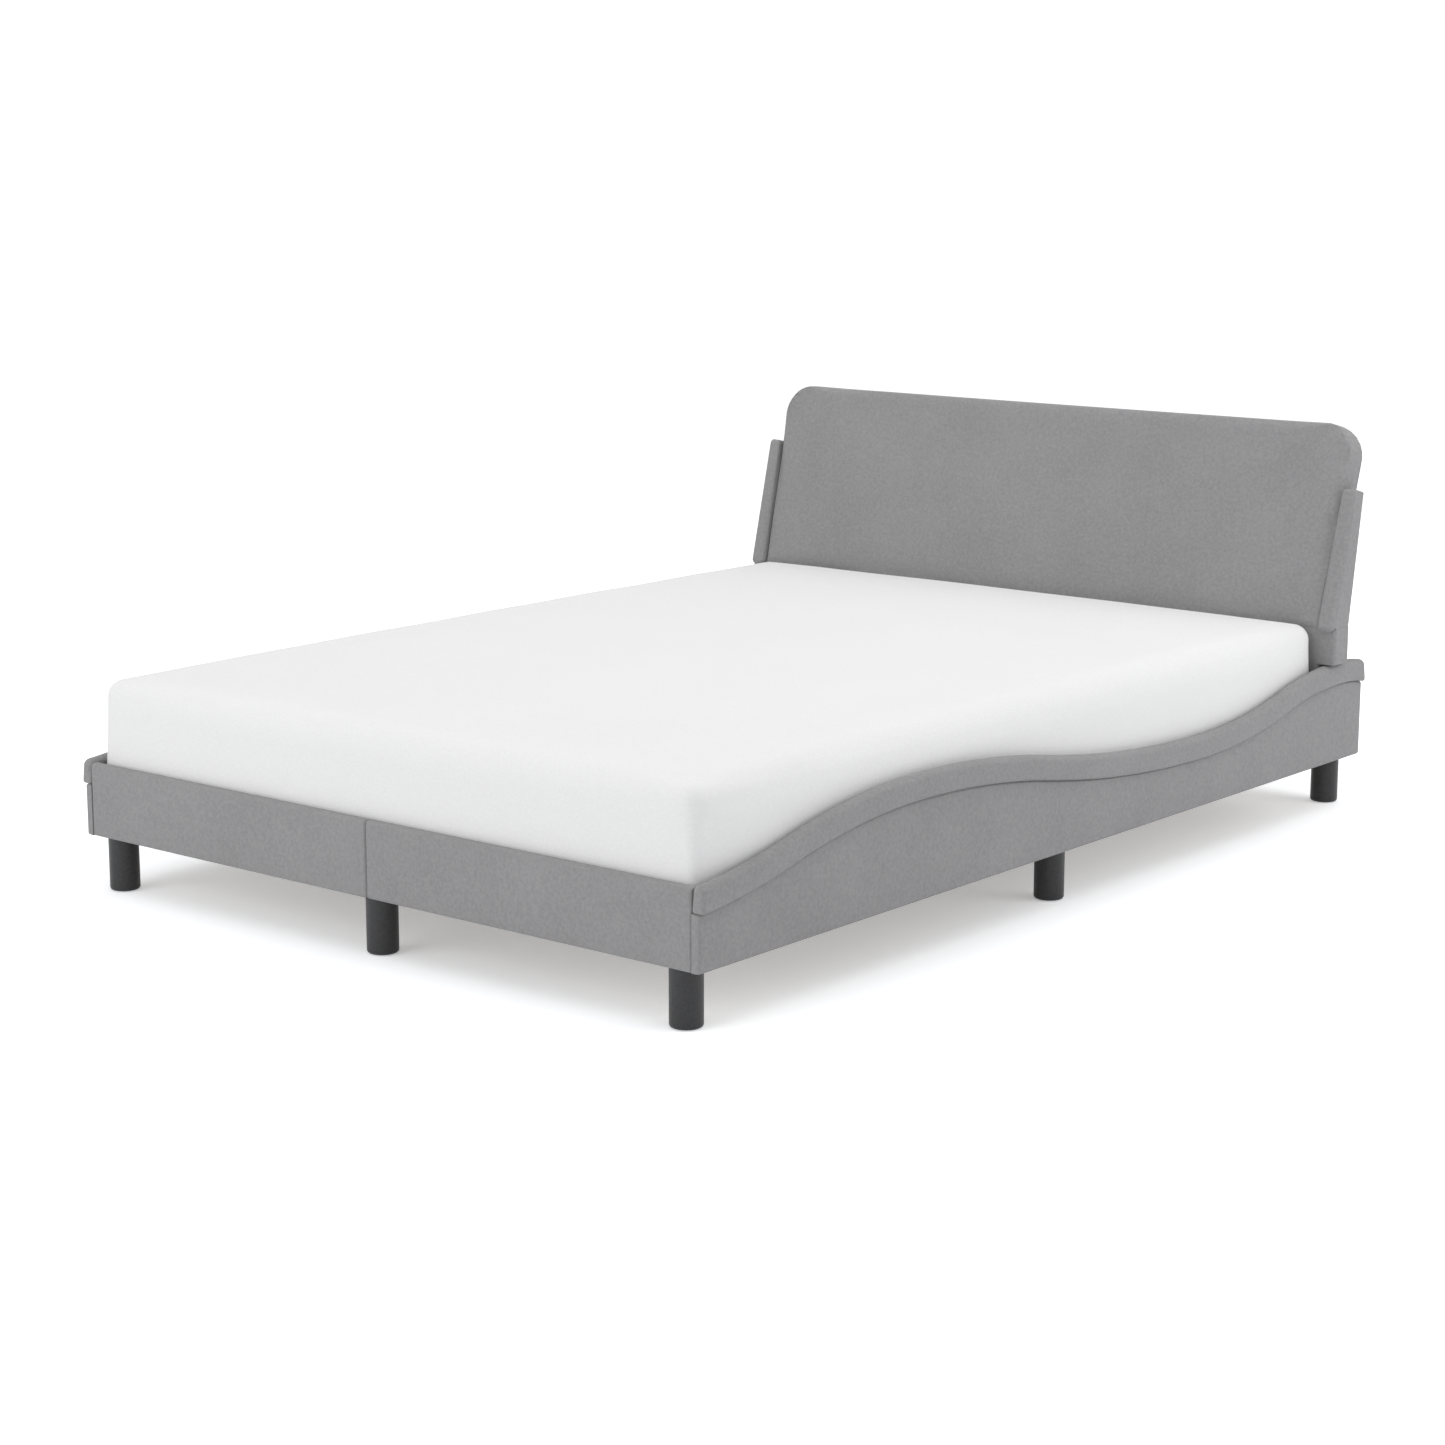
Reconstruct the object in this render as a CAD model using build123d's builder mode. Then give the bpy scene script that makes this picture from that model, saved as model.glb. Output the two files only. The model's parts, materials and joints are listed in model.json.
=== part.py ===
from build123d import *
import os
from math import cos, radians, sin

# Upholstered double bed with wave-topped side rails and a raked headboard, in millimetres.
# X runs across the bed, Y from the foot to the head, Z up from the floor.

# Mattress
mattress_width = 1370
mattress_length = 1900
mattress_height = 200
mattress_crown = 8  # rise of the top from its corners to its middle
mattress_waist = 4  # how far each side draws in between the corners
mattress_corner_radius = 34
mattress_top_radius = 26
mattress_bottom_radius = 6
mattress_cover_thickness = 8
mattress_cover_gap = 0.3
mattress_side_gap = 14
mattress_foot_gap = 5
mattress_head_gap = 3

# Boards, padding and how far the covers turn round the boards
frame_board = 11
frame_padding = 5
frame_rim = 3
panel_edge_radius = 4
seam_gap = 0.3
end_gap = 0.5  # between a cross panel and the side rails

# Footboard and head rail
footboard_height = 132

# Wave along the side rails: distances from the foot or the head, heights above the rails' underside
wave_foot_height = 137
wave_rise_distance = 225
wave_rise_height = 174
wave_crest_distance = 570
wave_crest_height = 216.5
wave_trough_height = 138
wave_trough_before_head_crest = 525
wave_head_crest_setback = 92
wave_head_crest_height = 202
wave_tail_height = 193
wave_fall_share = 0.41  # where each S turns over, along its chord
wave_climb_share = 0.58

# Padded cap on the wave
cap_depth = 44
cap_overhang = 8
cap_edge_radius = 10
cap_gap = 0.3

# Slats and what carries them
seat_height = 91  # slat tops above the rails' underside
slat_count = 13
slat_width = 65
slat_thickness = 10
slat_side_gap = 5
slat_end_margin = 10
ledge_width = 25
ledge_height = 30
ledge_end_gap = 70
beam_width = 40
strap_width = 25
strap_thickness = 1.5
strap_offset = 350

# Legs
leg_height = 99
leg_radius = 27
leg_foot_radius = 5
leg_side_inset = 56  # leg centre from the side rail's outer face
leg_end_inset = 36  # leg centre from the frame's ends
leg_middle_distance = 1035  # middle legs from the foot
glide_radius = 18
glide_thickness = 4
glide_proud = 1
block_length = 90
block_height = 30
stud_radius = 4
stud_in_leg = 40
stud_in_block = 26
thread_gap = 0.2

# Steel angles, joining plate and bolts
bracket_leg = 60
bracket_height = 44
bracket_thickness = 3
bracket_lift = 1
headboard_bracket_lift = 20  # above the slats' underside
bolt_radius = 4
bolt_grip = 9  # length in the wood
bolt_setback = 38
bolt_head_radius = 6.5
bolt_head_height = 5
plate_length = 200
plate_height = 36
plate_lift = 4

# Headboard: upright lower part, raked backrest, wings and wedge posts
headboard_board = 18
headboard_padding = 35
headboard_rim = 5
headboard_overhang = 18  # wings' outer faces past the side rails' outer faces
headboard_edge_radius = 6
shoulder_gap = 1
knee_below_mattress = 15  # the backrest starts behind the mattress
rail_tail = 100  # side rails behind the headboard
rake = 14
backrest_slope = 406
backrest_padding = 30
backrest_board = 18
backrest_crown = 6
backrest_corner_radius = 71
backrest_edge_radius = 8
backrest_rim = 10
back_cover_thickness = 1.5
wing_bottom_width = 37
wing_top_width = 28
wing_slope = 276
wing_drop = 5
wing_proud = 11
wing_top_depth = 28
wing_gap = 0.5
wing_padding = 8
wing_rim = 7
wing_edge_radius = 6
strut_width = 40
strut_offset = 450
strut_lift = 10
strut_rise = 225
strut_bolt_heights = (170, 246, 361, 441)  # above the rails' underside

# Places that follow from the sizes
frame_thickness = frame_board + frame_padding
headboard_thickness = headboard_board + headboard_padding
backrest_thickness = backrest_padding + backrest_board
mattress_reach = mattress_foot_gap + mattress_length + mattress_head_gap
rail_length = frame_thickness + mattress_reach + headboard_thickness + rail_tail
foot_face = -rail_length / 2
foot_inside = foot_face + frame_thickness
head_end = rail_length / 2
head_inside = head_end - frame_thickness
headboard_face = foot_inside + mattress_reach
headboard_back = headboard_face + headboard_thickness
rail_inside = mattress_width / 2 + mattress_side_gap
rail_outside = rail_inside + frame_thickness
panel_half = rail_inside - end_gap
rail_bottom = leg_height
slat_top = rail_bottom + seat_height
slat_bottom = slat_top - slat_thickness
block_top = rail_bottom + block_height
knee = slat_top + mattress_height - knee_below_mattress
shoulder = rail_bottom + wave_head_crest_height + shoulder_gap
headboard_half = rail_outside + headboard_overhang
leg_x = rail_outside - leg_side_inset
leg_rows = {
    "front": foot_face + leg_end_inset,
    "middle": foot_face + leg_middle_distance,
    "rear": head_end - leg_end_inset,
}
leg_columns = {"left": -leg_x, "centre": 0, "right": leg_x}
sides = {"left": -1, "right": 1}
hole_radius = bolt_radius + thread_gap

os.makedirs("parts", exist_ok=True)


def keep(piece, name):
    piece.label = name
    export_step(piece, f"parts/{name}.step")


def lying_between(start, end, share):
    return tuple(a + (b - a) * share for a, b in zip(start, end))


# The wave as tangent arcs, lowered by a drop
def wave_line(drop):
    base = rail_bottom - drop
    head_crest_y = head_end - wave_head_crest_setback
    foot = (foot_face, base + wave_foot_height)
    rise = (foot_face + wave_rise_distance, base + wave_rise_height)
    crest = (foot_face + wave_crest_distance, base + wave_crest_height)
    trough = (head_crest_y - wave_trough_before_head_crest, base + wave_trough_height)
    head_crest = (head_crest_y, base + wave_head_crest_height)
    tail = (head_end, base + wave_tail_height)
    fall_turn = lying_between(crest, trough, wave_fall_share)
    climb_turn = lying_between(trough, head_crest, wave_climb_share)
    with BuildLine() as wave:
        swell = TangentArc(crest, rise, tangent=(-1, 0))
        TangentArc(rise, foot, tangent=swell % 1)
        fall = TangentArc(crest, fall_turn, tangent=(1, 0))
        TangentArc(fall_turn, trough, tangent=fall % 1)
        climb = TangentArc(trough, climb_turn, tangent=(1, 0))
        TangentArc(climb_turn, head_crest, tangent=climb % 1)
        TangentArc(head_crest, tail, tangent=(1, 0))
    return wave.line


# Outline of a side rail under the lowered wave, pulled in by a margin at its ends and underside
def under_wave(drop, margin):
    wave = wave_line(drop)
    with BuildSketch() as outline:
        with BuildLine():
            add(wave)
            Line((foot_face, rail_bottom + wave_foot_height - drop), (foot_face, rail_bottom))
            Line((foot_face, rail_bottom), (head_end, rail_bottom))
            Line((head_end, rail_bottom), (head_end, rail_bottom + wave_tail_height - drop))
        make_face()
        if margin > 0:
            inside_length = rail_length - 2 * margin
            with Locations((0, rail_bottom + wave_crest_height)):
                Rectangle(inside_length, 2 * (wave_crest_height - margin), mode=Mode.INTERSECT)
    return outline.sketch


# Planes at the bolt places of an angle in the corner of two upright faces, each facing out of the wood
def angle_bolts(x, y, x_way, y_way, bottom):
    height = bottom + bracket_height / 2
    across = Plane((x + x_way * bolt_setback, y, height), z_dir=(0, y_way, 0))
    along = Plane((x, y + y_way * bolt_setback, height), z_dir=(x_way, 0, 0))
    return across, along


corner_angles = []
beam_angles = []
headboard_angles = []
for way in sides.values():
    for y, y_way in ((foot_inside, 1), (head_inside, -1)):
        corner_angles.append((way * rail_inside, y, -way, y_way, block_top + bracket_lift))
        beam_angles.append((way * beam_width / 2, y, way, y_way, block_top + bracket_lift))
    lift = slat_bottom + headboard_bracket_lift
    headboard_angles.append((way * rail_inside, headboard_back, -way, 1, lift))


def bolt_planes(angles, which):
    return [angle_bolts(*angle)[which] for angle in angles]


def facing(planes, axis, way):
    return [plane for plane in planes if getattr(plane.origin, axis) * way > 0]


cross_bolts = bolt_planes(corner_angles + beam_angles, 0)
rail_bolts = bolt_planes(corner_angles + headboard_angles, 1)
beam_bolts = bolt_planes(beam_angles, 1)
headboard_bolts = bolt_planes(headboard_angles, 0)

# Footboard in two halves: a padded tray open to the inside, with a board in it
for name, way in sides.items():
    middle = way * (seam_gap / 2 + panel_half) / 2
    length = panel_half - seam_gap / 2
    face_centre = (middle, foot_face, rail_bottom + footboard_height / 2)
    foot_plane = Plane(face_centre, x_dir=(1, 0, 0), z_dir=(0, 1, 0))
    with BuildPart() as footboard_cover:
        with BuildSketch(foot_plane):
            Rectangle(length, footboard_height)
        extrude(amount=frame_thickness)
        fillet(footboard_cover.faces().sort_by(Axis.Y)[0].edges(), radius=panel_edge_radius)
        with BuildSketch(foot_plane.offset(frame_padding)):
            Rectangle(length - 2 * frame_rim, footboard_height - 2 * frame_rim)
        extrude(amount=frame_board, mode=Mode.SUBTRACT)
    keep(footboard_cover.part, f"footboard_cover_{name}")

    with BuildPart() as footboard_board:
        with BuildSketch(foot_plane.offset(frame_padding)):
            Rectangle(length - 2 * frame_rim, footboard_height - 2 * frame_rim)
        extrude(amount=frame_board)
        foot_bolts = [plane for plane in facing(cross_bolts, "X", way) if plane.origin.Y < 0]
        with Locations(*foot_bolts):
            Hole(hole_radius, bolt_grip + thread_gap)
    keep(footboard_board.part, f"footboard_board_{name}")

with BuildPart() as footboard_joining_plate:
    plate_centre = (0, foot_inside, slat_bottom + plate_lift + plate_height / 2)
    with BuildSketch(Plane(plate_centre, x_dir=(1, 0, 0), z_dir=(0, 1, 0))):
        RectangleRounded(plate_length, plate_height, panel_edge_radius)
    extrude(amount=bracket_thickness)
keep(footboard_joining_plate.part, "footboard_joining_plate")

# Side rails: board, padded cover and the cap that rolls along the wave
for name, way in sides.items():
    inner_plane = Plane.YZ.offset(way * rail_inside)
    with BuildPart() as side_rail_cover:
        with BuildSketch(inner_plane):
            add(under_wave(cap_depth + cap_gap, 0))
        extrude(amount=way * frame_thickness)
        outer_face = side_rail_cover.faces().sort_by(Axis.X)[-1 if way > 0 else 0]
        ends = outer_face.edges().filter_by(Axis.Z)
        underside = outer_face.edges().filter_by(Axis.Y)
        fillet(ends + underside, radius=panel_edge_radius)
        with BuildSketch(inner_plane):
            add(under_wave(cap_depth + cap_gap, frame_rim))
        extrude(amount=way * frame_board, mode=Mode.SUBTRACT)
    keep(side_rail_cover.part, f"side_rail_cover_{name}")

    with BuildPart() as side_rail_board:
        with BuildSketch(inner_plane):
            add(under_wave(cap_depth + cap_gap, frame_rim))
        extrude(amount=way * frame_board)
        with Locations(*facing(rail_bolts, "X", way)):
            Hole(hole_radius, bolt_grip + thread_gap)
    keep(side_rail_board.part, f"side_rail_board_{name}")

    with BuildPart() as side_rail_cap:
        with BuildSketch(inner_plane):
            with BuildLine():
                add(wave_line(0))
                add(wave_line(cap_depth))
                foot_top = rail_bottom + wave_foot_height
                tail_top = rail_bottom + wave_tail_height
                Line((foot_face, foot_top), (foot_face, foot_top - cap_depth))
                Line((head_end, tail_top), (head_end, tail_top - cap_depth))
            make_face()
        extrude(amount=way * (frame_thickness + cap_overhang))
        top_faces = side_rail_cap.faces().filter_by(lambda face: face.normal_at().Z > 0.5)
        fillet(top_faces.edges().filter_by(GeomType.CIRCLE), radius=cap_edge_radius)
    keep(side_rail_cap.part, f"side_rail_cap_{name}")

# Head rail: a padded tray open to the inside, with a board in it
head_plane = Plane((0, head_end, rail_bottom + footboard_height / 2), x_dir=(1, 0, 0), z_dir=(0, -1, 0))
with BuildPart() as head_rail_cover:
    with BuildSketch(head_plane):
        Rectangle(2 * panel_half, footboard_height)
    extrude(amount=frame_thickness)
    fillet(head_rail_cover.faces().sort_by(Axis.Y)[-1].edges(), radius=panel_edge_radius)
    with BuildSketch(head_plane.offset(frame_padding)):
        Rectangle(2 * (panel_half - frame_rim), footboard_height - 2 * frame_rim)
    extrude(amount=frame_board, mode=Mode.SUBTRACT)
keep(head_rail_cover.part, "head_rail_cover")

with BuildPart() as head_rail_board:
    with BuildSketch(head_plane.offset(frame_padding)):
        Rectangle(2 * (panel_half - frame_rim), footboard_height - 2 * frame_rim)
    extrude(amount=frame_board)
    with Locations(*facing(cross_bolts, "Y", 1)):
        Hole(hole_radius, bolt_grip + thread_gap)
keep(head_rail_board.part, "head_rail_board")

# Ledges, centre beam, slats and straps
ledge_start = foot_inside + ledge_end_gap
ledge_end = head_inside - ledge_end_gap
for name, way in sides.items():
    with BuildPart() as slat_ledge:
        ledge_middle = (way * (rail_inside - ledge_width / 2), (ledge_start + ledge_end) / 2)
        with BuildSketch(Plane.XY.offset(slat_bottom)):
            with Locations(ledge_middle):
                Rectangle(ledge_width, ledge_end - ledge_start)
        extrude(amount=-ledge_height)
    keep(slat_ledge.part, f"slat_ledge_{name}")

with BuildPart() as centre_beam:
    with BuildSketch(Plane.XY.offset(block_top)):
        with Locations((0, (foot_inside + head_inside) / 2)):
            Rectangle(beam_width, head_inside - foot_inside)
    extrude(amount=slat_bottom - block_top)
    with Locations(*beam_bolts):
        Hole(hole_radius, bolt_grip + thread_gap)
keep(centre_beam.part, "centre_beam")

first_slat = ledge_start + slat_end_margin + slat_width / 2
last_slat = headboard_face - slat_end_margin - slat_width / 2
slat_pitch = (last_slat - first_slat) / (slat_count - 1)
slat_length = 2 * (rail_inside - slat_side_gap)
for number in range(slat_count):
    with BuildPart() as slat:
        with BuildSketch(Plane.XY.offset(slat_bottom)):
            with Locations((0, first_slat + number * slat_pitch)):
                Rectangle(slat_length, slat_width)
        extrude(amount=slat_thickness)
    keep(slat.part, f"slat_{number + 1:02d}")

with BuildPart() as slat_straps:
    strap_length = last_slat - first_slat + slat_width
    with BuildSketch(Plane.XY.offset(slat_bottom)):
        with Locations((0, (first_slat + last_slat) / 2)):
            with GridLocations(2 * strap_offset, 0, 2, 1):
                Rectangle(strap_width, strap_length)
    extrude(amount=-strap_thickness)
keep(slat_straps.part, "slat_straps")

# Legs with their glides, studs and blocks
for row, leg_y in leg_rows.items():
    for column, leg_at in leg_columns.items():
        with BuildPart() as leg:
            with BuildSketch(Plane.XY.offset(glide_proud)):
                with Locations((leg_at, leg_y)):
                    Circle(leg_radius)
            extrude(amount=leg_height - glide_proud)
            fillet(leg.faces().sort_by(Axis.Z)[0].edges(), radius=leg_foot_radius)
            with Locations((leg_at, leg_y, leg_height)):
                Hole(stud_radius + thread_gap, stud_in_leg)
            with Locations(Plane((leg_at, leg_y, glide_proud), z_dir=(0, 0, -1))):
                Hole(glide_radius + thread_gap, glide_thickness - glide_proud)
        keep(leg.part, f"leg_{row}_{column}")

leg_places = [(x, y) for y in leg_rows.values() for x in leg_columns.values()]
with BuildPart() as leg_glides:
    with BuildSketch():
        with Locations(*leg_places):
            Circle(glide_radius)
    extrude(amount=glide_thickness)
keep(leg_glides.part, "leg_glides")

with BuildPart() as leg_studs:
    with BuildSketch(Plane.XY.offset(leg_height - stud_in_leg)):
        with Locations(*leg_places):
            Circle(stud_radius)
    extrude(amount=stud_in_leg + stud_in_block)
keep(leg_studs.part, "leg_studs")

side_block_x = rail_inside - block_length / 2
block_rows = (
    foot_inside + block_length / 2,
    foot_face + leg_middle_distance,
    head_inside - block_length / 2,
)
with BuildPart() as leg_blocks:
    with BuildSketch(Plane.XY.offset(rail_bottom)):
        with Locations(*[(x, y) for y in block_rows for x in (-side_block_x, 0, side_block_x)]):
            Rectangle(block_length, block_length)
        with Locations(*leg_places):
            Circle(stud_radius + thread_gap, mode=Mode.SUBTRACT)
    extrude(amount=block_height)
keep(leg_blocks.part, "leg_blocks")

# Steel angles and their bolts
angle_groups = {
    "corner_brackets": corner_angles,
    "beam_brackets": beam_angles,
    "headboard_brackets": headboard_angles,
}
for name, angles in angle_groups.items():
    with BuildPart() as brackets:
        for x, y, x_way, y_way, bottom in angles:
            with BuildSketch(Plane((x, y, bottom))):
                with BuildLine():
                    Polyline(
                        (0, 0),
                        (x_way * bracket_leg, 0),
                        (x_way * bracket_leg, y_way * bracket_thickness),
                        (x_way * bracket_thickness, y_way * bracket_thickness),
                        (x_way * bracket_thickness, y_way * bracket_leg),
                        (0, y_way * bracket_leg),
                        close=True,
                    )
                make_face()
            extrude(amount=bracket_height)
        bracket_bolts = bolt_planes(angles, 0) + bolt_planes(angles, 1)
        with Locations(*[plane.offset(bracket_thickness) for plane in bracket_bolts]):
            Hole(hole_radius, bracket_thickness)
    keep(brackets.part, name)

with BuildPart() as frame_bolts:
    all_bolts = cross_bolts + rail_bolts + beam_bolts + headboard_bolts
    with Locations(*[plane.offset(bracket_thickness) for plane in all_bolts]):
        Cylinder(bolt_head_radius, bolt_head_height, align=(Align.CENTER, Align.CENTER, Align.MIN))
        shank = bracket_thickness + bolt_grip
        Cylinder(bolt_radius, shank, align=(Align.CENTER, Align.CENTER, Align.MAX))
keep(frame_bolts.part, "frame_bolts")

# Raked plane of the backrest's front, through the knee, and points on the raked section
slope_up = Vector(0, sin(radians(rake)), cos(radians(rake)))
front_normal = Vector(0, -cos(radians(rake)), sin(radians(rake)))
knee_point = Vector(0, headboard_face, knee)
raked_plane = Plane(knee_point, x_dir=(1, 0, 0), z_dir=front_normal)


def raked(slope, depth):
    point = knee_point + slope_up * slope - front_normal * depth
    return point.Y, point.Z


# Slope of the point at a depth behind the raked plane and a height above the knee
def slope_at(height, depth):
    return (height + depth * sin(radians(rake))) / cos(radians(rake))


# Upright lower part: a panel with shoulders over the side rails, its board let in from behind
def lower_outline(margin):
    with BuildSketch() as outline:
        with BuildLine():
            low_half = panel_half - margin
            high_half = headboard_half - margin
            Polyline(
                (-low_half, slat_bottom + margin),
                (low_half, slat_bottom + margin),
                (low_half, shoulder + margin),
                (high_half, shoulder + margin),
                (high_half, knee - margin),
                (-high_half, knee - margin),
                (-high_half, shoulder + margin),
                (-low_half, shoulder + margin),
                close=True,
            )
        make_face()
    return outline.sketch


upright_plane = Plane((0, headboard_face, 0), x_dir=(1, 0, 0), z_dir=(0, -1, 0))
with BuildPart() as headboard_lower_cover:
    with BuildSketch(upright_plane):
        add(lower_outline(0))
    extrude(amount=-headboard_thickness)
    upright_edges = headboard_lower_cover.faces().sort_by(Axis.Y)[0].edges().filter_by(Axis.Z)
    outer_edges = [upright_edges.sort_by(Axis.X)[0], upright_edges.sort_by(Axis.X)[-1]]
    fillet(outer_edges, radius=headboard_edge_radius)
    with BuildSketch(upright_plane.offset(-headboard_padding)):
        add(lower_outline(headboard_rim))
    extrude(amount=-headboard_board, mode=Mode.SUBTRACT)
keep(headboard_lower_cover.part, "headboard_lower_cover")

strut_bolt_planes = []
for way in sides.values():
    for height in strut_bolt_heights:
        bolt_place = (way * strut_offset, head_inside, rail_bottom + height)
        strut_bolt_planes.append(Plane(bolt_place, z_dir=(0, 1, 0)))
bolt_reach = head_inside - headboard_face

with BuildPart() as headboard_lower_board:
    with BuildSketch(upright_plane.offset(-headboard_padding)):
        add(lower_outline(headboard_rim))
    extrude(amount=-headboard_board)
    with Locations(*headboard_bolts):
        Hole(hole_radius, bolt_grip + thread_gap)
    with Locations(*strut_bolt_planes):
        Hole(hole_radius, bolt_reach)
keep(headboard_lower_board.part, "headboard_lower_board")

# Backrest: crowned pad with rounded top corners, its board let in from behind, and a dust cover
widening = (wing_bottom_width - wing_top_width) / wing_slope
backrest_half = headboard_half - wing_bottom_width - wing_gap


def backrest_outline(margin):
    low = -backrest_corner_radius
    high = backrest_slope - margin
    low_half = backrest_half + widening * low - margin
    high_half = backrest_half + widening * high - margin
    with BuildSketch() as outline:
        with BuildLine():
            Polyline(
                (-low_half, low),
                (low_half, low),
                (high_half, high),
                (-high_half, high),
                close=True,
            )
        make_face()
        fillet(outline.vertices().group_by(Axis.Y)[-1], radius=backrest_corner_radius - margin)
    return outline.sketch


with BuildPart() as backrest_pad:
    with BuildSketch(raked_plane):
        add(backrest_outline(0))
    extrude(amount=-backrest_thickness)
    crown_start = raked(-backrest_thickness, backrest_crown)
    crown_end = raked(backrest_slope, backrest_crown)
    with BuildSketch(Plane.YZ):
        with BuildLine():
            ThreePointArc(crown_start, raked(backrest_slope / 2, 0), crown_end)
            Polyline(
                crown_end,
                raked(backrest_slope, backrest_thickness),
                raked(-backrest_thickness, backrest_thickness),
                crown_start,
            )
        make_face()
    extrude(amount=headboard_half, both=True, mode=Mode.INTERSECT)
    split(bisect_by=Plane.XY.offset(knee), keep=Keep.TOP)
    front_faces = backrest_pad.faces().filter_by(lambda face: face.normal_at().Y < -0.9)
    fillet(front_faces.edges(), radius=backrest_edge_radius)
    with BuildSketch(raked_plane.offset(-backrest_padding)):
        add(backrest_outline(backrest_rim))
    extrude(amount=-backrest_board, mode=Mode.SUBTRACT)
keep(backrest_pad.part, "backrest_pad")

with BuildPart() as backrest_inner_board:
    with BuildSketch(raked_plane.offset(-backrest_padding)):
        add(backrest_outline(backrest_rim))
    extrude(amount=-backrest_board)
    split(bisect_by=Plane.XY.offset(knee), keep=Keep.TOP)
    with Locations(*strut_bolt_planes):
        Hole(hole_radius, bolt_reach)
keep(backrest_inner_board.part, "backrest_board")

with BuildPart() as backrest_back_cover:
    with BuildSketch(raked_plane.offset(-backrest_thickness)):
        add(backrest_outline(0))
    extrude(amount=-back_cover_thickness)
    split(bisect_by=Plane.XY.offset(knee), keep=Keep.TOP)
    with Locations(*strut_bolt_planes):
        Hole(hole_radius, bolt_reach)
keep(backrest_back_cover.part, "backrest_back_cover")

# Wings: padded slabs beside the backrest, each with a lip in front of the lower part
lip_slope = slope_at(-wing_drop, -wing_proud)
core_slope = slope_at(wing_rim, wing_rim - wing_proud)
wing_section = (
    raked(lip_slope, -wing_proud),
    (headboard_face - wing_gap, knee - wing_drop),
    (headboard_face - wing_gap, knee),
    (headboard_back, knee),
    raked(wing_slope, wing_top_depth),
    raked(wing_slope, -wing_proud),
)
core_section = (
    raked(core_slope, wing_rim - wing_proud),
    (headboard_back - wing_rim, knee + wing_rim),
    raked(wing_slope - wing_rim, wing_top_depth - wing_rim),
    raked(wing_slope - wing_rim, wing_rim - wing_proud),
)


def wing_inside(slope):
    return headboard_half - wing_bottom_width + widening * slope


# The raked plan of a wing: straight outside, and parallel to the backrest's side inside
def wing_plan(way):
    low = -backrest_slope
    with BuildSketch(raked_plane) as plan:
        with BuildLine():
            Polyline(
                (way * wing_inside(low), low),
                (way * headboard_half, low),
                (way * headboard_half, backrest_slope),
                (way * wing_inside(backrest_slope), backrest_slope),
                close=True,
            )
        make_face()
    return plan.sketch


for name, way in sides.items():
    wing_root = Plane.YZ.offset(way * (headboard_half - 2 * wing_bottom_width))
    with BuildPart() as wing_cover:
        with BuildSketch(wing_root):
            with BuildLine():
                Polyline(*wing_section, close=True)
            make_face()
        extrude(amount=way * 2 * wing_bottom_width)
        extrude(wing_plan(way), amount=backrest_slope, both=True, mode=Mode.INTERSECT)
        front_faces = wing_cover.faces().filter_by(lambda face: face.normal_at().Y < -0.9)
        fillet(front_faces.edges(), radius=wing_edge_radius)
        with BuildSketch(wing_root):
            with BuildLine():
                Polyline(*core_section, close=True)
            make_face()
        extrude(amount=way * (2 * wing_bottom_width - wing_padding), mode=Mode.SUBTRACT)
    keep(wing_cover.part, f"wing_cover_{name}")

    with BuildPart() as wing_core:
        with BuildSketch(wing_root):
            with BuildLine():
                Polyline(*core_section, close=True)
            make_face()
        extrude(amount=way * (2 * wing_bottom_width - wing_padding))
        extrude(wing_plan(way), amount=backrest_slope, both=True, mode=Mode.INTERSECT)
    keep(wing_core.part, f"wing_core_{name}")

# Wedge posts between the headboard's back and the head rail, and their bolts
back_depth = backrest_thickness + back_cover_thickness
back_slope = (headboard_thickness - back_depth * cos(radians(rake))) / sin(radians(rake))
strut_bottom = rail_bottom + strut_lift
strut_section = (
    (headboard_back, strut_bottom),
    raked(back_slope, back_depth),
    raked(slope_at(strut_rise, back_depth), back_depth),
    (head_inside, knee + strut_rise),
    (head_inside, strut_bottom),
)
for name, way in sides.items():
    with BuildPart() as headboard_strut:
        with BuildSketch(Plane.YZ.offset(way * strut_offset)):
            with BuildLine():
                Polyline(*strut_section, close=True)
            make_face()
        extrude(amount=strut_width / 2, both=True)
        with Locations(*facing(strut_bolt_planes, "X", way)):
            Hole(hole_radius, bolt_reach)
    keep(headboard_strut.part, f"headboard_strut_{name}")

with BuildPart() as strut_bolts:
    for plane in strut_bolt_planes:
        height = plane.origin.Z - knee
        wood_back = headboard_back
        if height > 0:
            wood_back = raked(slope_at(height, back_depth), back_depth)[0]
        with Locations(plane):
            Cylinder(bolt_head_radius, bolt_head_height, align=(Align.CENTER, Align.CENTER, Align.MIN))
            shank = head_inside - wood_back + bolt_grip
            Cylinder(bolt_radius, shank, align=(Align.CENTER, Align.CENTER, Align.MAX))
keep(strut_bolts.part, "strut_bolts")


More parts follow.
